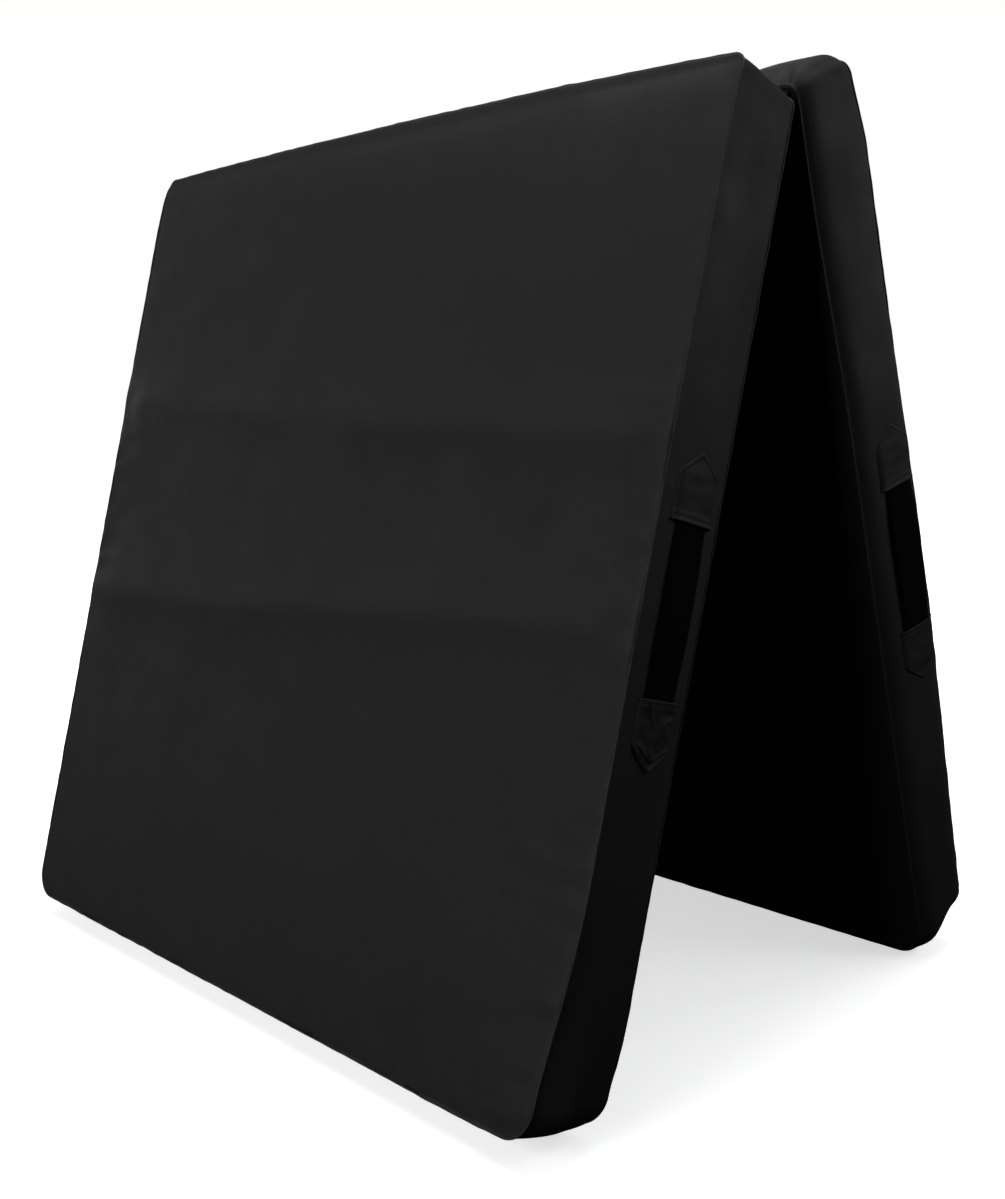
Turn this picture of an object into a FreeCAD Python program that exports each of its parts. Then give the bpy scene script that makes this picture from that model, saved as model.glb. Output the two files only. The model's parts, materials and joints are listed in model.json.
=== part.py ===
import FreeCAD, Part
import math
import os

# A two-panel folding gym mat, standing open like a tent with its fold at the top.
# Millimetres. +X runs along the fold, +Z is up, and the front panel leans towards -Y.
# The origin is on the floor, under the middle of the object's box.
# Each panel is drawn hanging straight down from the fold axis, then leaned out and lifted into place.
# In that hanging frame x is across the mat, y leaves the fold plane, and -z runs down to the foot.

Vector = FreeCAD.Vector

# The mat
width = 1219.0           # along the fold
length = 1219.0          # of one panel, from its fold edge to its foot edge
thickness = 107.0        # of one panel, face to face
opening = 32.3           # degrees between the panels as it stands
face_clearance = 2.0     # from the fold plane to each inner face
fold_corner = 16.0       # radius of a face's corners beside the fold
foot_corner = 42.0       # radius of a face's corners at the foot

# Cover, seams and foam
cloth = 0.8              # vinyl-coated cloth
seam_depth = 3.0         # of the sewn edge, across the panel's thickness
seam_half = 1.5          # half of the sewn edge's width
seam_proud = 0.8         # how far the outer seam stands off its face
foam_side = 1.8          # from the panel's outline to the foam
foam_face = 1.0          # from the panel's faces to the foam

# Handles: a webbing strap on each side of each panel
webbing_width = 50.8
webbing = 2.0
strap_exposed = 201.0    # between its two patches
strap_ramp = 38.0        # where it rises off the gusset
strap_lift = 8.0         # finger gap under its middle
strap_tuck = 52.0        # hidden under each patch
patch_width = 64.0
patch_length = 82.0
patch_shoulder = 27.0    # from its point to its full width
slip = 0.1               # clearance of sewn and tucked layers
joint_gap = 0.3          # between pieces that move apart

# Zip down the left gusset, beside the inner seam
zip_inset = 14.0         # from the inner face to the middle of the zip
zip_margin = 62.0        # from each end of the gusset to the zip
zip_slit_half = 0.9
tape_half = 11.0
row_outer = 3.1          # outer side of each row of coil
row_height = 2.0
zip_window_half = 5.7    # half of the gusset's slot
stop_length = 3.0
slider_length = 12.0
slider_half = 4.9
wing = 1.1               # thickness of each slider wing
pin_radius = 0.6
pin_height = 5.0         # of the pin's axis above the cover
eye_radius = 1.5
eye_bore = 0.68
eye_half = 1.8
tab_length = 24.0
tab_half = 3.6
tab_thickness = 1.2

# Hinge strip, one leaf on each inner face
leaf_lap = 45.0          # below the fold edge of the panel
leaf_gap = 3.0           # from the fold axis to each leaf
leaf_inset = 12.0        # from each end of the fold

panels = [
    # out is the side it leans to; hang is how far its top edge hangs below the fold axis;
    # bulge is how far its gussets round out; the strap's place is from the inner face and the fold edge
    dict(name="front", out=-1, hang=18.0, bulge=3.0, strap_across=52.0, strap_down=605.0),
    dict(name="rear", out=1, hang=0.0, bulge=12.0, strap_across=62.0, strap_down=605.0),
]

front_reach = length + panels[0]["hang"]
opening_rad = math.radians(opening)
front_lean = math.atan(
    (front_reach - length * math.cos(opening_rad)) / (length * math.sin(opening_rad))
)
leans = {"front": front_lean, "rear": opening_rad - front_lean}
axis_height = (length + seam_half) * math.cos(leans["rear"])
axis_height -= face_clearance * math.sin(leans["rear"])


def depth_of(panel):
    """How far the panel reaches from the fold axis along the floor."""
    lean = leans[panel["name"]]
    reach = length + panel["hang"] + seam_half
    return reach * math.sin(lean) + (face_clearance + thickness + seam_proud) * math.cos(lean)


axis_across = (depth_of(panels[0]) - depth_of(panels[1])) / 2
fold_axis = Vector(0, axis_across, axis_height)


def placed(shape, panel):
    """The hanging shape, leaned out and lifted to the fold axis."""
    result = shape.copy()
    result.rotate(Vector(0, 0, 0), Vector(1, 0, 0), panel["out"] * math.degrees(leans[panel["name"]]))
    result.translate(fold_axis)
    return result


def mirrored(shape):
    """The right-hand shape's copy on the left."""
    return shape.mirror(Vector(0, 0, 0), Vector(1, 0, 0))


def save(shape, panel, name):
    """Writes one node, named after its panel."""
    node = panel["name"] + "_" + name
    final = placed(shape, panel)
    if not final.isValid():
        raise ValueError(node + " is not a valid shape")
    final.exportStep("parts/" + node + ".step")
    print(node, len(final.Solids), "solids", round(final.Volume / 1000.0, 2), "cm3")


def block(x_low, x_high, y_low, y_high, z_low, z_high):
    """A box between its lowest and highest corners."""
    size = (x_high - x_low, y_high - y_low, z_high - z_low)
    return Part.makeBox(size[0], size[1], size[2], Vector(x_low, y_low, z_low))


def outline(panel, grow, foot_short=0.0):
    """The panel's face outline, grown outwards by grow, as a wire at y = 0."""
    half = width / 2 + grow
    top = grow - panel["hang"]
    foot = foot_short - grow - panel["hang"] - length
    corners = [
        (half, top, fold_corner + grow, 0),
        (-half, top, fold_corner + grow, 90),
        (-half, foot, foot_corner + grow, 180),
        (half, foot, foot_corner + grow, 270),
    ]
    arcs = []
    for x, z, radius, start in corners:
        middle = Vector(x - math.copysign(radius, x), 0, z - radius if start < 180 else z + radius)
        points = []
        for angle in (start, start + 45, start + 90):
            turn = math.radians(angle)
            points.append(middle + Vector(math.cos(turn), 0, math.sin(turn)) * radius)
        arcs.append((points, Part.Arc(*points).toShape()))
    edges = []
    for index, (points, arc) in enumerate(arcs):
        following = arcs[(index + 1) % len(arcs)][0]
        edges.append(arc)
        edges.append(Part.LineSegment(points[2], following[0]).toShape())
    return Part.Wire(edges)


def slab(panel, wire, near, far):
    """A flat piece with that outline, between two distances from the fold plane."""
    face = Part.Face(wire)
    face.translate(Vector(0, panel["out"] * near, 0))
    return face.extrude(Vector(0, panel["out"] * (far - near), 0))


def gusset_curve(panel):
    """Distance of the gusset's middle from the fold plane, its outer radius, and its arc's centre from the outline."""
    middle = face_clearance + thickness / 2
    half = thickness / 2 - seam_depth
    bulge = panel["bulge"]
    radius = (half * half + bulge * bulge) / (2 * bulge)
    return middle, radius, bulge - radius


def on_gusset(panel, height, across):
    """A point of the right-hand gusset, height above its cover, at a distance from the fold plane."""
    middle, radius, centre = gusset_curve(panel)
    out = centre + math.sqrt((radius + height) ** 2 - (across - middle) ** 2)
    return Vector(width / 2 + out, panel["out"] * across, 0)


def curved_section(panel, low, high, near, far):
    """A cross-section that follows the gusset, between two heights above its cover."""
    half_way = (near + far) / 2
    inner = [on_gusset(panel, low, across) for across in (near, half_way, far)]
    outer = [on_gusset(panel, high, across) for across in (near, half_way, far)]
    return Part.Wire([
        Part.Arc(*inner).toShape(),
        Part.LineSegment(inner[2], outer[2]).toShape(),
        Part.Arc(*reversed(outer)).toShape(),
        Part.LineSegment(outer[0], inner[0]).toShape(),
    ])


def tangent_frame(panel, across):
    """The gusset's surface point, outward normal and crossways tangent at a distance from the fold plane."""
    middle, radius, _ = gusset_curve(panel)
    tilt = math.asin((across - middle) / radius)
    normal = Vector(math.cos(tilt), panel["out"] * math.sin(tilt), 0)
    tangent = Vector(-math.sin(tilt), panel["out"] * math.cos(tilt), 0)
    return on_gusset(panel, 0, across), normal, tangent


def flat_section(panel, across, low, high, half):
    """A rectangular cross-section that stands on the gusset's tangent plane."""
    point, normal, tangent = tangent_frame(panel, across)
    inner = [point + normal * low + tangent * side for side in (-half, half)]
    outer = [point + normal * high + tangent * side for side in (-half, half)]
    return Part.Wire([
        Part.LineSegment(inner[0], inner[1]).toShape(),
        Part.LineSegment(inner[1], outer[1]).toShape(),
        Part.LineSegment(outer[1], outer[0]).toShape(),
        Part.LineSegment(outer[0], inner[0]).toShape(),
    ])


def run_down(section, start, end):
    """The solid of a cross-section run from one distance below the fold axis to another."""
    face = Part.Face(section)
    face.translate(Vector(0, 0, -start))
    return face.extrude(Vector(0, 0, start - end))


def make_foam(panel):
    """Two glued layers; the inner one is relieved along the zip."""
    wire = outline(panel, -foam_side)
    middle = face_clearance + thickness / 2
    inner = slab(panel, wire, face_clearance + foam_face, middle)
    outer = slab(panel, wire, middle, face_clearance + thickness - foam_face)
    start, end = zip_span(panel)
    near, far = zip_inset - tape_half, zip_inset + tape_half
    sides = sorted(panel["out"] * (face_clearance + across) for across in (near, far))
    relief_depth = 6.0
    left = -width / 2
    relief = block(left, left + relief_depth, sides[0], sides[1], -end - stop_length, stop_length - start)
    save(inner.cut(relief), panel, "foam_inner")
    save(outer, panel, "foam_outer")


def make_faces(panel):
    """The two flat sheets of the cover."""
    wire = outline(panel, -seam_half)
    far = face_clearance + thickness
    save(slab(panel, wire, face_clearance, face_clearance + cloth), panel, "inner_face")
    save(slab(panel, wire, far - cloth, far), panel, "outer_face")


def make_seams(panel):
    """The sewn edges that join each face to the gussets."""
    far = face_clearance + thickness
    spans = {
        "inner_seam": (face_clearance, face_clearance + seam_depth),
        "outer_seam": (far - seam_depth, far + seam_proud),
    }
    for name, (near, end) in spans.items():
        outside = slab(panel, outline(panel, seam_half), near, end)
        inside = slab(panel, outline(panel, -seam_half), near, end)
        save(outside.cut(inside), panel, name)


def gusset_section(panel):
    """The gusset's cross-section at the right-hand side, at z = 0."""
    near = face_clearance + seam_depth
    far = face_clearance + thickness - seam_depth
    return curved_section(panel, -cloth, 0, near, far)


def end_gusset(panel, radius, level, turn):
    """The gusset across one end of the panel with its two rounded corners; turn is +90 at the foot."""
    centre = Vector(width / 2 - radius, 0, level)
    face = Part.Face(gusset_section(panel))
    face.translate(Vector(0, 0, level))
    corner = face.revolve(centre, Vector(0, 1, 0), turn)
    face.rotate(centre, Vector(0, 1, 0), turn)
    straight = face.extrude(Vector(2 * radius - width, 0, 0))
    return straight.fuse([corner, mirrored(corner)]).removeSplitter()


def zip_span(panel):
    """Where the zip starts and ends, below the fold axis."""
    start = panel["hang"] + zip_margin
    return start, panel["hang"] + length - zip_margin


def zip_shape(panel, across_low, across_high, low, high, start, end):
    """A straight piece of the left-hand zip: across its middle line, above the cover, along the gusset."""
    point, normal, tangent = tangent_frame(panel, face_clearance + zip_inset)
    corners = [(across_low, low), (across_high, low), (across_high, high), (across_low, high)]
    points = [point + tangent * across + normal * height for across, height in corners]
    return mirrored(run_down(Part.makePolygon(points + points[:1]), start, end))


def make_gussets(panel):
    """Four strips round the edge; the left one has the zip's slot."""
    top = panel["hang"] + fold_corner
    foot = panel["hang"] + length - foot_corner
    right = run_down(gusset_section(panel), top, foot)
    start, end = zip_span(panel)
    slot = zip_shape(panel, -zip_window_half, zip_window_half, -wing - cloth, wing, start, end)
    save(right, panel, "right_gusset")
    save(mirrored(right).cut(slot), panel, "left_gusset")
    save(end_gusset(panel, fold_corner, -top, -90), panel, "fold_gusset")
    save(end_gusset(panel, foot_corner, -foot, 90), panel, "foot_gusset")


def patch_outline(panel, mouth, direction):
    """A house-shaped prism through the gusset; its point is away from the strap."""
    across = face_clearance + panel["strap_across"]
    half = patch_width / 2
    shoulder = mouth + direction * (patch_length - patch_shoulder)
    point = mouth + direction * patch_length
    corners = [(-half, mouth), (half, mouth), (half, shoulder), (0, point), (-half, shoulder)]
    low = width / 2 - patch_width
    points = [Vector(low, panel["out"] * (across + side), -down) for side, down in corners]
    return Part.Face(Part.makePolygon(points + points[:1])).extrude(Vector(2 * patch_width, 0, 0))


def strap_end(panel, mouth, direction):
    """The strap under one patch and its ramp up to the grip."""
    across = face_clearance + panel["strap_across"]
    half = webbing_width / 2
    tucked = curved_section(panel, slip, slip + webbing, across - half, across + half)
    raised = flat_section(panel, across, strap_lift, strap_lift + webbing, half)
    stations = [
        (tucked, mouth + direction * strap_tuck),
        (tucked, mouth),
        (raised, mouth - direction * (strap_ramp - joint_gap)),
    ]
    wires = []
    for section, down in stations:
        wire = section.copy()
        wire.translate(Vector(0, 0, -down))
        wires.append(wire)
    return Part.makeLoft(wires, True, True)


def make_handles(panel):
    """A strap and its two patches on each side of the panel."""
    across = face_clearance + panel["strap_across"]
    middle = panel["hang"] + panel["strap_down"]
    half = webbing_width / 2
    grip_half = strap_exposed / 2 - strap_ramp
    grip_section = flat_section(panel, across, strap_lift, strap_lift + webbing, half)
    grip = run_down(grip_section, middle - grip_half, middle + grip_half)
    ends = []
    patches = {}
    for name, direction in (("upper", -1), ("lower", 1)):
        mouth = middle + direction * strap_exposed / 2
        ends.append(strap_end(panel, mouth, direction))
        spread = patch_width / 2 + 1
        whole = curved_section(panel, 0, webbing + cloth + 2 * slip, across - spread, across + spread)
        pocket = curved_section(panel, -1, webbing + 2 * slip, across - half - slip, across + half + slip)
        reach = sorted([mouth - direction, mouth + direction * (patch_length + 1)])
        tuck = sorted([mouth - direction, mouth + direction * (strap_tuck + slip)])
        body = run_down(whole, *reach).common(patch_outline(panel, mouth, direction))
        patches[name] = body.cut(run_down(pocket, *tuck))
    for side, turned in (("right", lambda shape: shape), ("left", mirrored)):
        save(turned(Part.makeCompound(ends)), panel, side + "_strap_ends")
        save(turned(grip), panel, side + "_grip")
        for name, patch in patches.items():
            save(turned(patch), panel, side + "_" + name + "_patch")


def make_zip(panel):
    """Two tapes, two rows of coil, four stops, a slider at the foot end and its pull tab."""
    start, end = zip_span(panel)
    rows = []
    stops = []
    middle = face_clearance + zip_inset
    section = curved_section(panel, -2 * cloth - slip, -cloth - slip, middle - tape_half, middle + tape_half)
    slit = zip_shape(panel, -zip_slit_half, zip_slit_half, -4 * cloth, 0, start - 1, end + 1)
    tapes = mirrored(run_down(section, start, end)).cut(slit)
    for side in (-1, 1):
        low, high = sorted([side * zip_slit_half, side * row_outer])
        rows.append(zip_shape(panel, low, high, -cloth, row_height - cloth, start + stop_length, end - stop_length))
        for near, far in ((start, start + stop_length), (end - stop_length, end)):
            stops.append(zip_shape(panel, low, high, -cloth, row_height, near, far))
    save(tapes, panel, "zip_tapes")
    save(Part.makeCompound(rows), panel, "zip_coil")
    save(Part.makeCompound(stops), panel, "zip_stops")
    make_slider(panel, end - stop_length - joint_gap)


def make_slider(panel, foot):
    """The slider with its wings, neck, lugs and pin, and the tab that hangs on the pin."""
    head = foot - slider_length
    clear = 0.4
    roof = row_height - cloth + clear
    floor = -2 * cloth - slip - clear
    neck_half = zip_slit_half - clear
    rim = slider_half - row_outer - clear
    neck_length = 4.0
    parts = [
        zip_shape(panel, -slider_half, slider_half, roof, roof + wing, head, foot),
        zip_shape(panel, -slider_half + 1, slider_half - 1, floor - wing, floor, head, foot),
        zip_shape(panel, -neck_half, neck_half, floor - wing, roof + wing, head, head + neck_length),
    ]
    for side in (-1, 1):
        low, high = sorted([side * (slider_half - rim), side * slider_half])
        parts.append(zip_shape(panel, low, high, clear - cloth, roof + wing, head, foot))
    pin_down = head + slider_length / 3
    lug_half = 1.4
    lug_low = eye_half + joint_gap
    lug_high = lug_low + 1.0
    for side in (-1, 1):
        low, high = sorted([side * lug_low, side * lug_high])
        parts.append(
            zip_shape(panel, low, high, roof, pin_height + 1, pin_down - lug_half, pin_down + lug_half)
        )
    parts.append(zip_cylinder(panel, pin_radius, lug_high, pin_down))
    slider = parts[0].fuse(parts[1:]).removeSplitter()
    save(slider, panel, "zip_slider")

    shoulder = pin_down + eye_radius + 1.0
    low = pin_height - tab_thickness / 2
    high = pin_height + tab_thickness / 2
    tab = zip_cylinder(panel, eye_radius, eye_half, pin_down)
    neck = zip_shape(panel, -eye_half, eye_half, low, high, pin_down, shoulder + 1.0)
    plate = zip_shape(panel, -tab_half, tab_half, low, high, shoulder, pin_down + tab_length)
    slot_half = tab_half - 1.6
    slot_start = shoulder + 7.0
    window = zip_shape(panel, -slot_half, slot_half, low - 1, high + 1, slot_start, pin_down + tab_length - 2)
    bore = zip_cylinder(panel, eye_bore, eye_half + 1, pin_down)
    save(tab.fuse([neck, plate]).cut(window).cut(bore).removeSplitter(), panel, "zip_pull")
    pivot_line = placed(zip_line(panel, pin_down), panel)
    ends = [tuple(vertex.Point) for vertex in pivot_line.Vertexes]
    print(panel["name"], "pull tab's pin runs from", ends[0], "to", ends[1])


def zip_line(panel, down):
    """The pin's axis on the left-hand zip."""
    point, normal, tangent = tangent_frame(panel, face_clearance + zip_inset)
    middle = point + normal * pin_height - Vector(0, 0, down)
    return mirrored(Part.makeLine(middle - tangent * slider_half, middle + tangent * slider_half))


def zip_cylinder(panel, radius, half, down):
    """A cylinder across the left-hand zip, on the pin's axis."""
    point, normal, tangent = tangent_frame(panel, face_clearance + zip_inset)
    base = point + normal * pin_height - tangent * half - Vector(0, 0, down)
    return mirrored(Part.makeCylinder(radius, 2 * half, base, tangent))


def make_leaf(panel):
    """One half of the hinge strip: sewn to the inner face, and reaching to the fold axis."""
    half = width / 2 - leaf_inset
    end = panel["hang"] + leaf_lap
    sides = sorted([panel["out"] * (face_clearance - cloth), panel["out"] * face_clearance])
    save(block(-half, half, sides[0], sides[1], -end, -leaf_gap), panel, "hinge_leaf")


os.makedirs("parts", exist_ok=True)
for panel in panels:
    make_foam(panel)
    make_faces(panel)
    make_seams(panel)
    make_gussets(panel)
    make_handles(panel)
    make_zip(panel)
    make_leaf(panel)
print("fold axis", tuple(fold_axis), "leans", {name: math.degrees(lean) for name, lean in leans.items()})
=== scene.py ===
import json
import math

import bpy
import numpy as np
from mathutils import Matrix, Vector


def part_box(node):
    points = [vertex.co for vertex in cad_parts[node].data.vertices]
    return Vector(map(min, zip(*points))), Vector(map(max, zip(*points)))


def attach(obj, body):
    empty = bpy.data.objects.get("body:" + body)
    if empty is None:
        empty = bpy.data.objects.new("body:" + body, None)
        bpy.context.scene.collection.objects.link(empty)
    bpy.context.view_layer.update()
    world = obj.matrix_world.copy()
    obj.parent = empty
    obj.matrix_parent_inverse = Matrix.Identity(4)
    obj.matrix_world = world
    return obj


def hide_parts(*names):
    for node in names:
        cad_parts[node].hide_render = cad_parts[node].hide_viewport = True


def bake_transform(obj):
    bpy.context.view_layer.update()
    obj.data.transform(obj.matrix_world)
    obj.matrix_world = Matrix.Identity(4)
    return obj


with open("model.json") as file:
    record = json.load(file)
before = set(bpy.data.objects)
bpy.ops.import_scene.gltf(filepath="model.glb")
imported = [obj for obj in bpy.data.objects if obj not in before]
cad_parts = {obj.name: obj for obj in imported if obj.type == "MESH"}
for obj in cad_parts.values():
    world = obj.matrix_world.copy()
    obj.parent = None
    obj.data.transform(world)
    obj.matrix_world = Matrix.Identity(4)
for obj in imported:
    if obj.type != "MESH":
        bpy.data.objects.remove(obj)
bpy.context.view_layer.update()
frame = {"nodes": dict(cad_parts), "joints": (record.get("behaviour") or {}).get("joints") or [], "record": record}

# The looks of the two-panel folding gym mat. Metres, in the row frame.
# Every panel is drawn in its own directions: x across the mat, s down the panel from the fold axis,
# and o away from the fold plane, so o is 2 mm at the inner face and 109 mm at the outer face.

mm = 0.001

# -------- sizes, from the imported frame
joints = {joint["name"]: joint for joint in frame["joints"]}
mounts = {mount["name"]: mount for mount in frame["record"]["mounts"]}
fold_axis = Vector(joints["main_fold"]["pos_m"])
seam_half = 1.5 * mm
half_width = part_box("front_outer_seam")[1].x - seam_half
length = 2 * half_width
clearance = 2 * mm                    # fold plane to inner face
thickness = 107 * mm
far_side = clearance + thickness      # fold plane to outer face
seam_depth = 3 * mm
gusset_middle = clearance + thickness / 2
gusset_half = thickness / 2 - seam_depth
fold_corner = 16 * mm
foot_corner = 42 * mm

strap_width = 50.8 * mm
strap_thick = 1.9 * mm
strap_reach = 100.5 * mm              # from a strap's middle to a patch's mouth
strap_tuck = 50 * mm
strap_bow = 2.0 * mm
patch_half = 32 * mm
patch_length = 82 * mm
patch_shoulder = 27 * mm

zip_across = 16 * mm
zip_margin = 62 * mm
zip_window = 5.7 * mm
zip_depth = 3.8 * mm


class Panel:
    """One panel's place: which way it leans, how far it hangs below the fold, and where its straps are."""

    def __init__(self, name, out, hang, puff, strap_across, strap_down, seed):
        self.name, self.out, self.hang, self.puff, self.seed = name, out, hang, puff, seed
        normal = mounts[name + "_outer_face"]["axis"]
        self.lean = math.atan2(normal[2], abs(normal[1]))
        self.strap_across = clearance + strap_across
        self.strap_middle = hang + strap_down
        self.body = name + "_panel"


front = Panel("front", -1, 18 * mm, 3 * mm, 52 * mm, 605 * mm, 11)
rear = Panel("rear", 1, 0.0, 12 * mm, 62 * mm, 605 * mm, 47)


# -------- small tools
def smooth(value, low, high):
    """0 below low, 1 above high, and a soft step between."""
    t = np.clip((np.asarray(value, float) - low) / (high - low), 0, 1)
    return t * t * (3 - 2 * t)


def bump(value, middle, half):
    """A soft hill of height 1."""
    return np.exp(-((np.asarray(value, float) - middle) / half) ** 2)


def fading(value, reach):
    """1 at zero and below, falling away over that reach."""
    return np.exp(-np.maximum(value, 0) / reach)


def ripple(coordinates, size, seed, waves=14):
    """Smooth noise from -1 to 1, with features of about that size, made of seeded waves."""
    rng = np.random.RandomState(seed)
    points = np.stack(np.broadcast_arrays(*coordinates), -1)
    total = np.zeros(points.shape[:-1])
    for _ in range(waves):
        direction = rng.normal(size=points.shape[-1])
        direction /= np.linalg.norm(direction)
        pitch = size * rng.uniform(1.2, 3.0)
        total += np.sin(points @ direction * (2 * math.pi / pitch) + rng.uniform(0, 2 * math.pi))
    return total / math.sqrt(waves)


def placed(panel, x, s, o):
    """Points of the panel's own directions, in the row frame."""
    x, s, o = np.broadcast_arrays(*(np.asarray(v, float) for v in (x, s, o)))
    sine, cosine = math.sin(panel.lean), math.cos(panel.lean)
    y = fold_axis.y + panel.out * (s * sine + o * cosine)
    z = fold_axis.z - s * cosine + o * sine
    return np.stack([x, y, z], -1)


def make_piece(name, points, faces, material, local=None, wear=None):
    """A smooth mesh with its own coordinates and wear stored on its vertices for the materials."""
    mesh = bpy.data.meshes.new(name)
    mesh.from_pydata(np.asarray(points).tolist(), [], [tuple(int(i) for i in face) for face in faces])
    mesh.validate()
    mesh.polygons.foreach_set("use_smooth", [True] * len(mesh.polygons))
    place = mesh.attributes.new("place", "FLOAT_VECTOR", "POINT")
    place.data.foreach_set("vector", np.asarray(points if local is None else local, np.float32).ravel())
    worn = mesh.attributes.new("worn", "FLOAT", "POINT")
    worn.data.foreach_set("value", np.asarray(np.zeros(len(points)) if wear is None else wear, np.float32))
    piece = bpy.data.objects.new(name, mesh)
    bpy.context.scene.collection.objects.link(piece)
    mesh.materials.append(material)
    return piece


def grid_faces(columns, rows, start=0, flip=False, wrap=False):
    """Quads of a grid stored row by row; wrap joins the last column to the first."""
    last = columns if wrap else columns - 1
    i, j = np.meshgrid(np.arange(last), np.arange(rows - 1))
    i, j = i.ravel(), j.ravel()
    following = (i + 1) % columns
    quads = np.stack([j * columns + i, j * columns + following,
                      (j + 1) * columns + following, (j + 1) * columns + i], 1)
    return (quads[:, ::-1] if flip else quads) + start


def slab_faces(panel, columns, rows, loop, levels):
    """Faces of a closed slab: the inner face's grid, rings of its border's points, and the outer face's grid."""
    count, flip = columns * rows, panel.out < 0
    top = count + levels * len(loop)
    faces = grid_faces(columns, rows, 0, flip).tolist() + grid_faces(columns, rows, top, not flip).tolist()
    rings = [loop] + [count + level * len(loop) + np.arange(len(loop)) for level in range(levels)] + [loop + top]
    for low, high in zip(rings[:-1], rings[1:]):
        quads = np.stack([low, np.roll(low, -1), np.roll(high, -1), high], 1)
        faces += (quads if flip else quads[:, ::-1]).tolist()
    return faces


def sheet_faces(columns, rows, flip=False):
    """Faces of a thin sheet: two grids of points, one after the other, joined round their borders."""
    count = columns * rows
    faces = grid_faces(columns, rows, 0, flip).tolist() + grid_faces(columns, rows, count, not flip).tolist()
    border = [*range(columns), *(columns * row + columns - 1 for row in range(1, rows)),
              *(columns * (rows - 1) + column for column in range(columns - 2, -1, -1)),
              *(columns * row for row in range(rows - 2, 0, -1))]
    for first, second in zip(border, border[1:] + border[:1]):
        quad = [first, second, second + count, first + count]
        faces.append(quad if flip else quad[::-1])
    return faces


def tube_faces(around, along, start=0):
    """Quads of a tube whose rings are stored one after another, with its end caps."""
    faces = grid_faces(around, along, start, wrap=True).tolist()
    faces.append(list(range(start + around - 1, start - 1, -1)))
    faces.append(list(range(start + around * (along - 1), start + around * along)))
    return faces


def sharpen_ends(piece):
    """Keeps a tube's end caps out of its smooth shading."""
    mesh = piece.data
    sharp = mesh.attributes.new("sharp_edge", "BOOLEAN", "EDGE")
    ends = {tuple(sorted(key)) for face in mesh.polygons if len(face.vertices) > 4 for key in face.edge_keys}
    sharp.data.foreach_set("value", [tuple(sorted(edge.vertices)) in ends for edge in mesh.edges])


# -------- materials
class Shading:
    """A material or world while its nodes are made: its shader, and short calls that add a node and join it."""

    def __init__(self, name, kind=bpy.data.materials, shader="Principled BSDF"):
        self.owner = kind.new(name)
        self.owner.use_nodes = True
        self.nodes, self.links = self.owner.node_tree.nodes, self.owner.node_tree.links
        self.shader = self.nodes[shader]

    def join(self, value, socket):
        """Sets a socket to a number, or links another socket to it."""
        if isinstance(value, (int, float)):
            socket.default_value = value
        else:
            self.links.new(value, socket)

    def give(self, **sockets):
        """Gives the shader's sockets their numbers or links; an underscore in a name is a space."""
        for key, value in sockets.items():
            self.join(value, self.shader.inputs[key.replace("_", " ")])

    def attribute(self, name, output="Vector"):
        node = self.nodes.new("ShaderNodeAttribute")
        node.attribute_name = name
        return node.outputs[output]

    def noise(self, vector, scale, detail=3.0, rough=0.55):
        node = self.nodes.new("ShaderNodeTexNoise")
        for key, value in (("Vector", vector), ("Scale", scale), ("Detail", detail), ("Roughness", rough)):
            self.join(value, node.inputs[key])
        return node.outputs["Fac"]

    def cells(self, vector, scale, feature="F1", randomness=1.0):
        node = self.nodes.new("ShaderNodeTexVoronoi")
        node.feature = feature
        for key, value in (("Vector", vector), ("Scale", scale), ("Randomness", randomness)):
            self.join(value, node.inputs[key])
        return node.outputs["Distance"]

    def ranged(self, value, low, high, to_low, to_high):
        node = self.nodes.new("ShaderNodeMapRange")
        for key, number in (("Value", value), ("From Min", low), ("From Max", high),
                            ("To Min", to_low), ("To Max", to_high)):
            self.join(number, node.inputs[key])
        return node.outputs["Result"]

    def math(self, operation, first, second=0):
        node = self.nodes.new("ShaderNodeMath")
        node.operation = operation
        self.join(first, node.inputs[0])
        self.join(second, node.inputs[1])
        return node.outputs[0]

    def mixed(self, share, first, second):
        """A colour between two, each a triple or a socket."""
        node = self.nodes.new("ShaderNodeMix")
        node.data_type = "RGBA"
        self.join(share, node.inputs["Factor"])
        for key, value in (("A", first), ("B", second)):
            socket = next(s for s in node.inputs if s.name == key and s.type == "RGBA")
            if isinstance(value, tuple):
                socket.default_value = (*value, 1)
            else:
                self.links.new(value, socket)
        return next(s for s in node.outputs if s.type == "RGBA")

    def bumped(self, height, distance, strength, before=None):
        node = self.nodes.new("ShaderNodeBump")
        self.join(distance, node.inputs["Distance"])
        self.join(strength, node.inputs["Strength"])
        self.links.new(height, node.inputs["Height"])
        if before is not None:
            self.links.new(before, node.inputs["Normal"])
        return node.outputs["Normal"]

    def seen_directly(self):
        """1 for what the camera sees straight on, 0 for the light that a surface gives to others."""
        return self.nodes.new("ShaderNodeLightPath").outputs["Is Camera Ray"]


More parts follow.
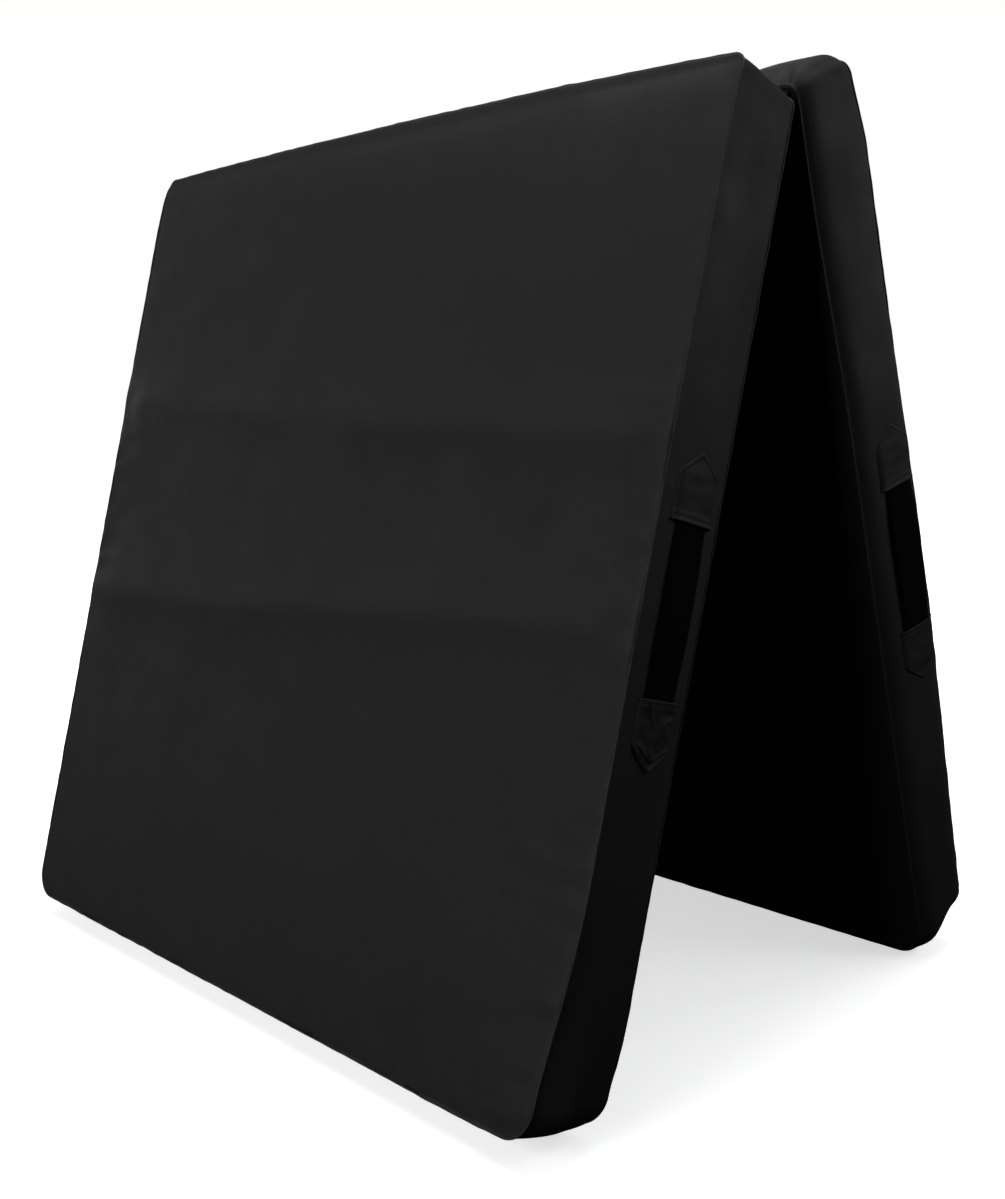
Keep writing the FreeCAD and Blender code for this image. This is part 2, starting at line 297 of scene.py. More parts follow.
def vinyl(name, dark, light, rough, shine, grain=1.0):
    """Vinyl-coated cloth: fine leather grain over faint wrinkles, cloudy in tone, paler where edges are rubbed."""
    look = Shading(name)
    place = look.attribute("place")
    clouds = look.ranged(look.noise(place, 5.0, 5.0, 0.6), 0.35, 0.65, 0.15, 0.4)
    mottle = look.ranged(look.noise(place, 120.0, 2.0), 0.3, 0.7, 0.0, 0.25)
    colour = look.mixed(look.math("ADD", clouds, mottle), dark, light)
    broken = look.ranged(look.noise(place, 60.0, 4.0), 0.4, 0.62, 0.25, 1.0)
    scuffed = look.math("MULTIPLY", look.attribute("worn", "Fac"), broken)
    scuff_colour = tuple(2.2 * level for level in light)
    patchy = look.ranged(look.noise(place, 14.0, 4.0), 0.3, 0.7, rough - 0.06, rough + 0.07)
    normal = look.bumped(look.cells(place, 850.0, "SMOOTH_F1", 0.9), 0.10 * mm, 0.55 * grain)
    normal = look.bumped(look.noise(place, 260.0, 3.0), 0.16 * mm, 0.35 * grain, normal)
    normal = look.bumped(look.noise(place, 14.0, 2.0, 0.45), 1.2 * mm, 0.045, normal)
    look.give(Base_Color=look.mixed(scuffed, colour, scuff_colour), Normal=normal, Specular_IOR_Level=shine,
              Roughness=look.math("ADD", patchy, look.math("MULTIPLY", scuffed, 0.12)))
    return look.owner


def woven(name, dark, light, across, along, depth, rough, shine):
    """Webbing or tape: ribs and picks that interlace in a herringbone. Its place is x across, y along."""
    look = Shading(name)
    place = look.attribute("place")
    split = look.nodes.new("ShaderNodeSeparateXYZ")
    look.join(place, split.inputs[0])
    x, y = split.outputs[0], split.outputs[1]
    turn = 2 * math.pi
    slant = look.math("MULTIPLY", look.math("PINGPONG", x, 6 * across), turn / (2 * across))
    ribs = look.math("SINE", look.math("MULTIPLY", x, turn / across))
    picks = look.math("SINE", look.math("ADD", look.math("MULTIPLY", y, turn / along), slant))
    weave = look.ranged(look.math("MULTIPLY", ribs, picks), -1, 1, 0, 1)
    fuzz = look.noise(place, 700.0)
    faded = look.ranged(look.noise(place, 18.0), 0.3, 0.7, 0.7, 1.2)
    thread = look.math("ADD", look.math("MULTIPLY", weave, 0.6), look.math("MULTIPLY", fuzz, 0.3))
    normal = look.bumped(fuzz, 0.1 * mm, 0.4, look.bumped(weave, depth, 0.8))
    look.give(Base_Color=look.mixed(look.math("MULTIPLY", thread, faded), dark, light), Normal=normal,
              Roughness=look.ranged(fuzz, 0.2, 0.8, rough - 0.08, rough + 0.08),
              Specular_IOR_Level=shine, Sheen_Weight=0.0, Sheen_Roughness=0.6)
    return look.owner


def cellular(name, dark, light):
    """Closed-cell foam, cut with a knife."""
    look = Shading(name)
    place = look.attribute("place")
    cells = look.cells(place, 420.0)
    share = look.math("ADD", look.ranged(cells, 0, 0.8, 0, 0.7),
                      look.ranged(look.noise(place, 9.0), 0.3, 0.7, 0, 0.3))
    look.give(Base_Color=look.mixed(share, dark, light), Normal=look.bumped(cells, 0.5 * mm, 0.7),
              Roughness=look.ranged(look.noise(place, 40.0), 0.3, 0.7, 0.85, 0.98), Specular_IOR_Level=0.2)
    return look.owner


def metal(name, dark, light, rough):
    """Blackened zinc: cast grain, with bright rubs and small scratches."""
    look = Shading(name)
    place = look.nodes.new("ShaderNodeTexCoord").outputs["Object"]
    grain = look.noise(place, 900.0, 4.0)
    rubbed = look.ranged(look.noise(place, 240.0, 5.0, 0.7), 0.5, 0.68, 0, 1)
    look.give(Base_Color=look.mixed(rubbed, dark, light), Normal=look.bumped(grain, 0.05 * mm, 0.4),
              Roughness=look.ranged(grain, 0.3, 0.7, rough - 0.08, rough + 0.12), Metallic=1.0)
    return look.owner


def grey(level):
    """A grey a touch towards blue."""
    return (level, level * 1.015, level * 1.03)


cover_vinyl = vinyl("cover_vinyl", grey(0.0105), grey(0.0135), 0.63, 0.12)
patch_vinyl = vinyl("patch_vinyl", grey(0.0090), grey(0.0115), 0.64, 0.12, 1.4)
seam_vinyl = vinyl("seam_vinyl", grey(0.011), grey(0.015), 0.58, 0.2, 1.6)
thread = woven("stitch_thread", grey(0.010), grey(0.030), 0.4 * mm, 0.8 * mm, 0.1 * mm, 0.6, 0.3)
strap_weave = woven("strap_webbing", grey(0.0004), grey(0.0020), 2.1 * mm, 1.5 * mm, 0.30 * mm, 0.88, 0.03)
tape_weave = woven("zip_tape_weave", grey(0.004), grey(0.012), 0.9 * mm, 0.9 * mm, 0.12 * mm, 0.8, 0.15)
coil_nylon = vinyl("zip_coil_nylon", grey(0.010), grey(0.02), 0.4, 0.4, 0.3)
foam_cream = cellular("foam_cells", (0.62, 0.60, 0.55), (0.78, 0.77, 0.72))
zip_black = metal("zip_black_metal", (0.035, 0.035, 0.037), (0.22, 0.21, 0.20), 0.34)


# -------- the panel's shape
def corner_radius(panel, s):
    return np.where(s - panel.hang < length / 2, fold_corner, foot_corner)


def core_point(panel, x, s):
    """The nearest point of the panel's outline without its corners' roundings."""
    radius = corner_radius(panel, s)
    core_x = np.clip(x, -half_width + radius, half_width - radius)
    core_s = np.clip(s, panel.hang + fold_corner, panel.hang + length - foot_corner)
    return core_x, core_s


def depth_inside(panel, x, s):
    """How far a point of the face is inside the panel's outline."""
    radius = corner_radius(panel, s)
    across = np.abs(x) - (half_width - radius)
    down = np.abs(s - panel.hang - length / 2) - (length / 2 - radius)
    outside = np.hypot(np.maximum(across, 0), np.maximum(down, 0)) + np.minimum(np.maximum(across, down), 0)
    return radius - outside


def outline_normal(panel, x, s):
    """The outward direction across and down at points of the outline."""
    core_x, core_s = core_point(panel, x, s)
    step = np.stack([x - core_x, s - core_s], -1)
    return step / np.linalg.norm(step, axis=-1, keepdims=True)


def front_pulls(x, s, o, outer_share):
    """The front panel's outer top edge is raised and rolled over, and its right foot corner draws in."""
    roll, foot_lift, edge_drift, foot_draw, edge_swing = 7 * mm, 14 * mm, 17 * mm, 11 * mm, 7 * mm
    top_raise = np.interp(x / half_width, [-1, -0.8, -0.4, 0, 0.5, 0.85, 1],
                          np.array([10, 13, 17, 19, 18, 13, 9]) * mm)
    s = s - top_raise * fading(s - front.hang, 75 * mm) * np.clip(o / far_side, 0, 1.1) ** 1.5
    down = s - front.hang
    o = o - roll * fading(down, 25 * mm) * outer_share
    near_foot = smooth(down, length - 150 * mm, length)
    right_end = smooth(x, 450 * mm, 605 * mm)
    inner_share = fading(o - clearance, 44 * mm)
    s = s - foot_lift * right_end * near_foot * (1 - 0.65 * smooth(o, 45 * mm, 109 * mm))
    right_edge = smooth(x, half_width - 160 * mm, half_width)
    drift = smooth(s - front.hang, length - 320 * mm, length - 20 * mm) ** 1.3 * smooth(o, 58 * mm, 112 * mm)
    x = x - right_edge * (edge_drift * drift + foot_draw * near_foot * inner_share)
    return x, s, o + edge_swing * right_edge * drift


def rear_pulls(x, s, o, outer_share):
    """The rear panel's sides are overfilled and its foot corners lifted; its right fold corner is turned in."""
    top_raise, corner_in, corner_down, seam_in = 10 * mm, 9 * mm, 1.5 * mm, 9 * mm
    side_swell, outer_swell = 9.5 * mm, 4.2 * mm
    foot_lift = np.where(x > 0, 30, 14) * mm
    edge = smooth(np.abs(x), half_width - 160 * mm, half_width)
    s = s - fading(s, 75 * mm) * outer_share * top_raise * smooth(x, 300 * mm, half_width)
    near_foot = smooth(s, length - 120 * mm, length)
    s = s - foot_lift * smooth(np.abs(x), 490 * mm, 600 * mm) * near_foot * smooth(o, 22 * mm, 78 * mm)
    turned = smooth(x, 520 * mm, half_width) * (1 - smooth(s, 0, 95 * mm)) * smooth(o, 10 * mm, 70 * mm)
    x, s = x - corner_in * turned, s + corner_down * turned
    swollen = 0.45 + 0.70 * bump(s, 680 * mm, 340 * mm)
    swell_share = np.where(x > 0, np.clip((o - clearance) / (100 * mm), 0, 1.07), smooth(o, 22 * mm, 72 * mm))
    x = x + np.sign(x) * edge * side_swell * swollen * swell_share
    o = o + edge * outer_swell * swollen * smooth(o, 45 * mm, 109 * mm)
    pulled = (x > 0) * (1 - smooth(s, 100 * mm, 430 * mm))
    beside_seam = 0.6 * (1 - smooth(o, clearance, 72 * mm)) + 0.4 * fading(o - clearance, 10 * mm)
    return x - edge * seam_in * pulled * beside_seam, s, o


def warped(panel, x, s, o):
    """The whole panel's slow pulls, which move its outer layer more than its inner one."""
    x, s, o = (np.array(v, float) for v in np.broadcast_arrays(x, s, o))
    pulls = front_pulls if panel is front else rear_pulls
    return pulls(x, s, o, smooth(o, 4 * mm, 105 * mm))


def gusset_rise(panel, x, s, o, normal):
    """How far the gusset stands off the outline, padded between its seams."""
    across = np.clip((o - gusset_middle) / gusset_half, -1, 1)
    side = normal[..., 0] ** 2
    right_side = side * (x >= 0)
    fold_end = normal[..., 1] ** 2 * (s < panel.hang + length / 2)
    foot_end = normal[..., 1] ** 2 - fold_end
    if panel is front:
        middle_foot = 1 - smooth(np.abs(x), 280 * mm, 520 * mm)
        high = panel.puff * side + 2.5 * mm * fold_end + (3 + 7 * middle_foot) * mm * foot_end
        power = 2.0 + right_side
    else:
        near_fold = 1 - smooth(s, 100 * mm, 430 * mm)
        side_puff = panel.puff * (1 - 0.25 * near_fold * (x > 0))
        end_puff = (5 + np.where(x > 0, 11, 5) * smooth(np.abs(x), 380 * mm, 540 * mm)) * mm
        corner = (2 * np.abs(normal[..., 0] * normal[..., 1])) ** 2
        high = side_puff * side + end_puff * fold_end + 8 * mm * foot_end
        high = high * (1 - (0.55 * foot_end + 0.45 * fold_end) * corner)
        power = 2.0 + 3.0 * right_side + 0.8 * fold_end
    radius = (gusset_half ** 2 + high ** 2) / (2 * high)
    arc = high - radius + np.sqrt(radius ** 2 - (across * gusset_half) ** 2)
    return np.where(power > 2.001, high * (1 - np.abs(across) ** power), arc)


def gusset_crease(panel, x, s, o):
    """Small folds of the gusset: gathers beside the seams and slow waves between, none beside the zip."""
    gather_reach, gather_high, slow_high = 13 * mm, 0.55 * mm, 0.7 * mm
    gather = ripple((x, s), 17 * mm, panel.seed + 1)
    slow = ripple((x, s, o), 70 * mm, panel.seed + 2)
    beside = np.exp(-np.abs(o - clearance) / gather_reach) + np.exp(-np.abs(o - far_side) / gather_reach)
    rise = (0.7 if panel is front else 1.0) * (gather_high * gather * beside + slow_high * slow)
    calm = (x < -half_width + foot_corner) & (np.abs(o - zip_across) < 14 * mm)
    return rise * ~calm * smooth(gusset_half - np.abs(o - gusset_middle), -2 * mm, 9 * mm)


def fold_dart(panel, x, s, o):
    """The tucks where the rear panel's padded end gathers beside the hinge strip, at its corners."""
    if panel is front:
        return np.zeros_like(x)
    deep, middle, half = 9 * mm, 12 * mm, 15 * mm
    across = np.abs(np.abs(x) - (half_width - 21 * mm) + 0.55 * (o - middle))
    return -deep * bump(across, 0, 6 * mm) * bump(o, middle, half) * (s < middle)


def zip_groove(panel, x, s, o):
    """Where the left gusset opens for the zip."""
    start, end = panel.hang + zip_margin - 0.5 * mm, panel.hang + length - zip_margin + 0.5 * mm
    inside = (x < 0) & (s > start) & (s < end) & (np.abs(o - zip_across) < zip_window + 0.05 * mm)
    return np.where(inside, -zip_depth, 0.0)


def gusset_points(panel, x, s, o, lift=0.0):
    """Points of the finished gusset over outline points (x, s), lifted off it; in the panel's own directions."""
    x, s, o, lift = (np.array(v, float) for v in np.broadcast_arrays(x, s, o, lift))
    normal = outline_normal(panel, x, s)
    rise = gusset_rise(panel, x, s, o, normal) + gusset_crease(panel, x, s, o)
    rise = rise + fold_dart(panel, x, s, o) + lift
    return warped(panel, x + normal[..., 0] * rise, s + normal[..., 1] * rise, o)


# Each ridge's line over the front panel's outer face: places across and down, in shares of the side.
front_ridges = (([-0.5, -0.3, 0.1, 0.36, 0.5], [0.300, 0.318, 0.336, 0.343, 0.345]),
                ([-0.5, -0.22, 0.17, 0.41, 0.5], [0.568, 0.562, 0.537, 0.525, 0.522]))


def face_crown(panel, x, s):
    """How far the outer face stands off its plane: crowned foam, two broad ridges, and puckers off the seams."""
    foam_crown, seam_dip, ridge_high, crest_round = 5.5 * mm, 1.6 * mm, 12 * mm, 0.010
    inside = depth_inside(panel, x, s)
    down, across = (s - panel.hang) / length, x / length
    crown = foam_crown * (1 - np.exp(-inside / (110 * mm)))
    crown = crown - seam_dip * np.exp(-inside / (7 * mm)) * smooth(s - panel.hang, 0, 30 * mm)
    if panel is front:
        for ridge_across, ridge_down in front_ridges:
            gap = down - np.interp(across, ridge_across, ridge_down)
            crest = np.hypot(gap, crest_round) - crest_round
            share = 0.3 + 0.7 * smooth(inside, 0, 90 * mm)
            crown = crown + ridge_high * share * np.exp(-crest / np.where(gap < 0, 0.040, 0.036))
    else:
        for line, high in ((0.30, 2.6 * mm), (0.62, 3.0 * mm)):
            gap = down - line - 0.012 * np.sin(3 * across + line)
            crown = crown + high * smooth(inside, 0, 120 * mm) * np.exp(-np.abs(gap / 0.07) ** 1.7)
    slow = 0.55 * mm * ripple((x, s), 150 * mm, panel.seed + 3)
    return crown + slow * smooth(inside, 0, 60 * mm) + pucker(panel, x, s)


def pucker(panel, x, s):
    """Short folds from the side seams, stronger where the handles pull, and a tuck at the right foot corner."""
    deepest, foot_high = 1.9 * mm, 0.7 * mm
    down = (s - panel.hang) / length
    from_side = half_width - np.abs(x)
    total = np.zeros_like(x)
    for side, high, reach in ((1, 1.7 * mm, 70 * mm), (-1, 2.3 * mm, 75 * mm)):
        folds = ripple((s + 0.05 * from_side, 0.2 * np.abs(x)), 15 * mm, panel.seed + 5 + 5 * (side < 0))
        pull = 0.25 + 1.1 * bump(down, 0.43, 0.12)
        pull = pull + (side > 0) * (0.5 * bump(down, 0.92, 0.08) + 1.0 * bump(down, 0.74, 0.06))
        total = total + np.where(np.sign(x) == side, high * folds * pull * np.exp(-from_side / reach), 0.0)
    total = np.maximum(total, -deepest + 0.25 * total) * smooth(from_side, 0, 12 * mm)
    from_foot = panel.hang + length - s
    near_foot = (1 - smooth(from_foot, 0, 130 * mm)) * smooth(from_foot, 0, 12 * mm)
    foot_folds = foot_high * ripple((x, 0.3 * s), 22 * mm, panel.seed + 19)
    crease = 160 * mm - from_foot - 0.3 * from_side
    tuck = (1.6 * bump(crease, -9 * mm, 9 * mm) - 2.6 * bump(crease, 3 * mm, 6 * mm)) * mm
    tuck = tuck * np.exp(-from_side / (70 * mm)) * (x > 0) * smooth(from_side, 0, 6 * mm)
    return total + foot_folds * near_foot + tuck


def inner_crown(panel, x, s):
    """The inner face is nearly flat, because the two lie on each other when the mat is folded."""
    seam_dip, strip_dip = 0.9 * mm, 0.3 * mm
    inside = depth_inside(panel, x, s)
    slow = ripple((x, s), 130 * mm, panel.seed + 7)
    crown = (0.35 + 0.3 * slow) * mm * smooth(inside, 0, 80 * mm) - seam_dip * np.exp(-inside / (6 * mm))
    under_strip = 1 - smooth(s, panel.hang + 50 * mm, panel.hang + 75 * mm)
    return crown * (1 - under_strip) - strip_dip * under_strip


def split(*stations):
    """Lines from the first station through the others, each given with its number of steps."""
    lines = [stations[0]]
    for end, steps in stations[1:]:
        lines += [lines[-1] + (end - lines[-1]) * (k + 1) / steps for k in range(steps)]
    return np.array(lines)


def face_grid(panel, coarse=1.0):
    """The face's grid (x, s), square in the middle and bent round the corners at its border."""
    middle = max(4, round(58 * coarse))
    half_lines = split(0.0, (half_width - foot_corner, middle), (half_width - fold_corner, 5), (half_width, 5))
    across = np.concatenate([-half_lines[:0:-1], half_lines])
    down = split(0.0, (fold_corner, 5), (length - foot_corner, round(116 * coarse)), (length, 9))
    x, s = (grid.ravel() for grid in np.meshgrid(across, down))
    for radius, turn, centre in ((fold_corner, -1, fold_corner), (foot_corner, 1, length - foot_corner)):
        p = (np.abs(x) - half_width + radius) / radius
        q = turn * (s - centre) / radius
        inside = (p > 0) & (q > 0)
        bent_x = np.sign(x) * (half_width - radius + radius * p * np.sqrt(np.clip(1 - q * q / 2, 0, 1)))
        bent_s = centre + turn * radius * q * np.sqrt(np.clip(1 - p * p / 2, 0, 1))
        x, s = np.where(inside, bent_x, x), np.where(inside, bent_s, s)
    columns, rows = len(across), len(down)
    right = [row * columns + columns - 1 for row in range(rows)]
    foot = [(rows - 1) * columns + column for column in range(columns - 2, -1, -1)]
    left = [row * columns for row in range(rows - 2, -1, -1)]
    top = list(range(1, columns - 1))
    return x, s + panel.hang, columns, rows, np.array(right + foot + left + top)


def lifted_off_floor(points):
    """Cloth that would reach the floor lies flat on it."""
    points[:, 2] = np.maximum(points[:, 2], 0.4 * mm)
    return points


# The gusset's rows of points, from the inner face to the outer one; the zip's slot has two rows at each side.
gusset_rows = np.array([3.4, 5.2, 7.6, 10.2, 10.4, 13, 16, 19, 21.6, 21.8, 26, 31, 37, 43, 49, 55.5,
                        62, 68, 74, 79.5, 84.5, 89, 93, 96.8, 100.2, 103, 105.4, 107.4]) * mm


def make_cover(panel):
    """The closed vinyl cover: inner face, gusset all round, and outer face."""
    x, s, columns, rows, loop = face_grid(panel)
    inner = warped(panel, x, s, clearance - inner_crown(panel, x, s))
    outer = warped(panel, x, s, far_side + face_crown(panel, x, s))
    band_o, band_x = np.meshgrid(gusset_rows, x[loop], indexing="ij")
    band_s = np.broadcast_to(s[loop], band_x.shape)
    gusset = gusset_points(panel, band_x, band_s, band_o, zip_groove(panel, band_x, band_s, band_o))
    local = np.concatenate([np.stack(part, -1).reshape(-1, 3) for part in (inner, gusset, outer)])
    points = lifted_off_floor(placed(panel, *local.T))
    faces = slab_faces(panel, columns, rows, loop, len(gusset_rows))
    patchy = 0.5 + 0.5 * smooth(ripple((x, s), 60 * mm, 3), -0.5, 1)
    face_wear = 0.75 * np.exp(-depth_inside(panel, x, s) / (5 * mm)) * patchy
    band_wear = 0.5 * np.exp(-(gusset_half + seam_depth - np.abs(band_o - gusset_middle)) / (4 * mm))
    wear = np.concatenate([0.6 * face_wear, band_wear.ravel(), face_wear])
    piece = make_piece(panel.name + "_cover", points, faces, cover_vinyl, local, wear)
    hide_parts(*(panel.name + "_" + part for part in (
        "inner_face", "outer_face", "right_gusset", "left_gusset", "fold_gusset", "foot_gusset")))
    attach(piece, panel.body)


def outline_path(panel, step):
    """Evenly spaced points of the panel's outline, their outward directions, and the distance run."""
    turns = [(half_width - foot_corner, length - foot_corner, foot_corner, 0),
             (-half_width + foot_corner, length - foot_corner, foot_corner, 90),
             (-half_width + fold_corner, fold_corner, fold_corner, 180),
             (half_width - fold_corner, fold_corner, fold_corner, 270)]
    x, s = [], []
    for centre_x, centre_s, radius, start in turns:
        for angle in np.radians(np.linspace(start, start + 90, 13)):
            x.append(centre_x + radius * math.cos(angle))
            s.append(centre_s + radius * math.sin(angle))
    x, s = np.array(x + x[:1]), np.array(s + s[:1])
    run = np.concatenate([[0], np.cumsum(np.hypot(np.diff(x), np.diff(s)))])
    count = round(run[-1] / step)
    even = np.arange(count) * run[-1] / count
    x, s = np.interp(even, run, x), np.interp(even, run, s) + panel.hang
    return x, s, outline_normal(panel, x, s), even


def make_seam(panel, where):
    """The sewn edge between a face and the gusset: a narrow piped ridge that wanders a little."""
    x, s, normal, run = outline_path(panel, 4 * mm)
    outer = where == "outer"
    level, high = (far_side - 1.0 * mm, 1.4 * mm) if outer else (clearance + 1.6 * mm, -1.1 * mm)
    wander = ripple((x, s), 30 * mm, panel.seed + 23)
    fatness = 1 + 0.10 * ripple((x, s), 14 * mm, panel.seed + 29)
    if panel is front and outer:
        level = level - 0.8 * mm * (1 - smooth(s - panel.hang, 0, 30 * mm))
    around = 10
    rings, local = [], []
    for k in range(around):
        angle = 2 * math.pi * k / around
        out = 0.1 * mm + 1.1 * mm * math.cos(angle) * fatness + 0.25 * mm * wander
        up = high * math.sin(angle) * fatness + math.copysign(0.15 * mm, high) * wander
        points = warped(panel, x + normal[:, 0] * out, s + normal[:, 1] * out, level + up)
        rings.append(placed(panel, *points))
        local.append(np.stack([np.full(len(run), k * mm), run, np.zeros(len(run))], -1))
    points = lifted_off_floor(np.stack(rings, 1).reshape(-1, 3))
    index = np.arange(len(points)).reshape(-1, around)
    following = np.roll(index, -1, axis=0)
    quads = [index, np.roll(index, -1, 1), np.roll(following, -1, 1), following]
    quads = np.stack(quads, -1).reshape(-1, 4)
    if (panel.out > 0) == outer:
        quads = quads[:, ::-1]
    piece = make_piece(f"{panel.name}_{where}_seam_welt", points, quads, seam_vinyl,
                       np.stack(local, 1).reshape(-1, 3), np.full(len(points), 0.35))
    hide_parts(f"{panel.name}_{where}_seam")
    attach(piece, panel.body)


def make_foam(panel):
    """The two glued foam layers inside the cover, with eased edges."""
    x, s, columns, rows, loop = face_grid(panel, 0.3)
    centre_s = panel.hang + length / 2
    inset, ease_high, ease_reach, glue = 9 * mm, 1.6 * mm, 3 * mm, 0.3 * mm
    layers = {"foam_inner": (clearance + 2.2 * mm, gusset_middle - glue),
              "foam_outer": (gusset_middle + glue, far_side - 3.6 * mm)}
    shrink = 1 - inset / half_width
    x, s = x * shrink, centre_s + (s - centre_s) * shrink
    ease = ease_high * fading(depth_inside(panel, x, s) - inset, ease_reach)
    for name, (near, far) in layers.items():
        levels = np.linspace(near + 2.2 * mm, far - 2.2 * mm, 5)
        sheets = [np.stack([x, s, near + ease], -1)]
        sheets += [np.stack([x[loop], s[loop], np.full(len(loop), level)], -1) for level in levels]
        sheets.append(np.stack([x, s, far - ease], -1))
        local = np.concatenate(sheets)
        faces = slab_faces(panel, columns, rows, loop, len(levels))
        piece = make_piece(f"{panel.name}_{name}_slab", placed(panel, *warped(panel, *local.T)), faces,
                           foam_cream, local)
        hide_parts(panel.name + "_" + name)
        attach(piece, panel.body)


# -------- handles
def side_points(panel, side, s, o, lift):
    """Points over the side gusset, mirrored for the left, in the panel's own directions."""
    return gusset_points(panel, np.full(np.shape(s), side * half_width), s, o, lift)


def strap_height(down, bow):
    """The strap's height over the gusset, by distance from its middle: flat under the patches, bowed between."""
    rise = 1 - smooth(np.abs(down), 18 * mm, strap_reach + 4 * mm)
    return 0.35 * mm + bow * rise


def make_strap(panel, side, part):
    """Half a webbing strap, from its middle to its end under a patch."""
    direction = -1 if part == "upper" else 1
    prefix = f"{panel.name}_{side_name(side)}"
    along = np.linspace(0, strap_reach + strap_tuck, 64)
    half, steps = strap_width / 2, 16
    places = [half * (-1 + 2 * k / steps) for k in range(steps + 1)]
    ring = [(across, 1 if abs(across) < half else 0.72) for across in places]
    ring += [(across, 0 if abs(across) < half else 0.28) for across in reversed(places)]
    cup_high, wander_high, wander_pitch = 0.5 * mm, 0.5 * mm, 310 * mm
    wander = wander_high * np.sin(direction * along * 2 * math.pi / wander_pitch + panel.seed)
    bow = strap_bow if panel is front else strap_bow + 1 * mm
    s = panel.strap_middle + direction * along
    columns, local = [], []
    for across, level in ring:
        cupped = cup_high * (across / half) ** 2 * (1 - smooth(along, 40 * mm, strap_reach))
        lift = strap_height(along, bow) + strap_thick * level + cupped
        columns.append(placed(panel, *side_points(panel, side, s, panel.strap_across + across + wander, lift)))
        local.append(np.stack([np.full(len(along), across), direction * along,
                               np.full(len(along), level * mm)], -1))
    faces = tube_faces(len(ring), len(along))
    if side * panel.out * direction < 0:
        faces = [face[::-1] for face in faces]
    piece = make_piece(f"{prefix}_strap_{part}", np.stack(columns, 1).reshape(-1, 3), faces, strap_weave,
                       np.stack(local, 1).reshape(-1, 3))
    sharpen_ends(piece)
    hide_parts(prefix + "_strap_ends", prefix + "_grip")
    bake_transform(piece)


def side_name(side):
    return "right" if side > 0 else "left"


def house(u, v):
    """A square grid (u across from -1 to 1, v from mouth 0 to point 1) bent to the patch's house shape."""
    shoulder = 1 - patch_shoulder / patch_length
    down = v * (shoulder + (1 - shoulder) * (1 - np.abs(u)))
    corner = 0.02 * bump(np.abs(u), 1, 0.12) * bump(v, 1, 0.12)
    return u * (1 - corner), down - corner


def rumpled(across, down, to_edge, lift):
    """The front panel's lower patches: rumpled all over, bent a little across, with the point curled up."""
    curl_high, fold_high, rim_high, sway = 3.2 * mm, 1.7 * mm, 1.1 * mm, 1.6 * mm
    curl = smooth(down, 44 * mm, 76 * mm) * smooth(8 * mm - to_edge, 0, 8 * mm)
    folds = np.clip(1 - np.abs(ripple((across, down), 26 * mm, 77, 6)), 0, 1) ** 3
    rim = bump(to_edge + 1.5 * mm * np.sin(down / (7 * mm)), 10 * mm, 1.8 * mm)
    lift = lift + curl_high * curl + fold_high * folds * smooth(to_edge, 1 * mm, 8 * mm) + rim_high * rim
    return across + sway * np.sin(down / (13 * mm)) * smooth(down, 5 * mm, 40 * mm), lift


